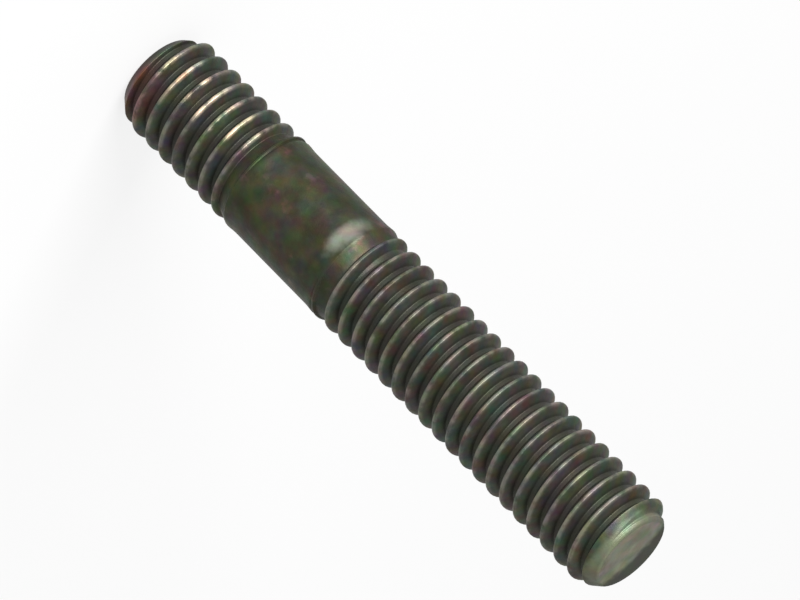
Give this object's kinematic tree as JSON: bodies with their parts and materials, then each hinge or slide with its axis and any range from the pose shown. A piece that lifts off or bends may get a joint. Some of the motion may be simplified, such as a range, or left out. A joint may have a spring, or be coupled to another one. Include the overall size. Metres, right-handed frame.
{
  "type": "exhaust manifold stud",
  "caption": "Double-ended threaded steel stud with a plain shank, which clamps an exhaust manifold flange to a cylinder head.",
  "frame": {"origin": "centre of the short thread's end face, on the stud's axis", "axes": "+Z along the axis from the short-thread end to the long-thread end; X and Y are square to it and otherwise free, because the stud is round"},
  "size_m": [0.0078, 0.0078, 0.05],
  "materials": {
    "steel": "dark oiled heat-treated steel, satin, with worn lighter thread crests and bare end faces"
  },
  "bodies": {
    "root": {"stud": "steel"}
  },
  "joints": []
}
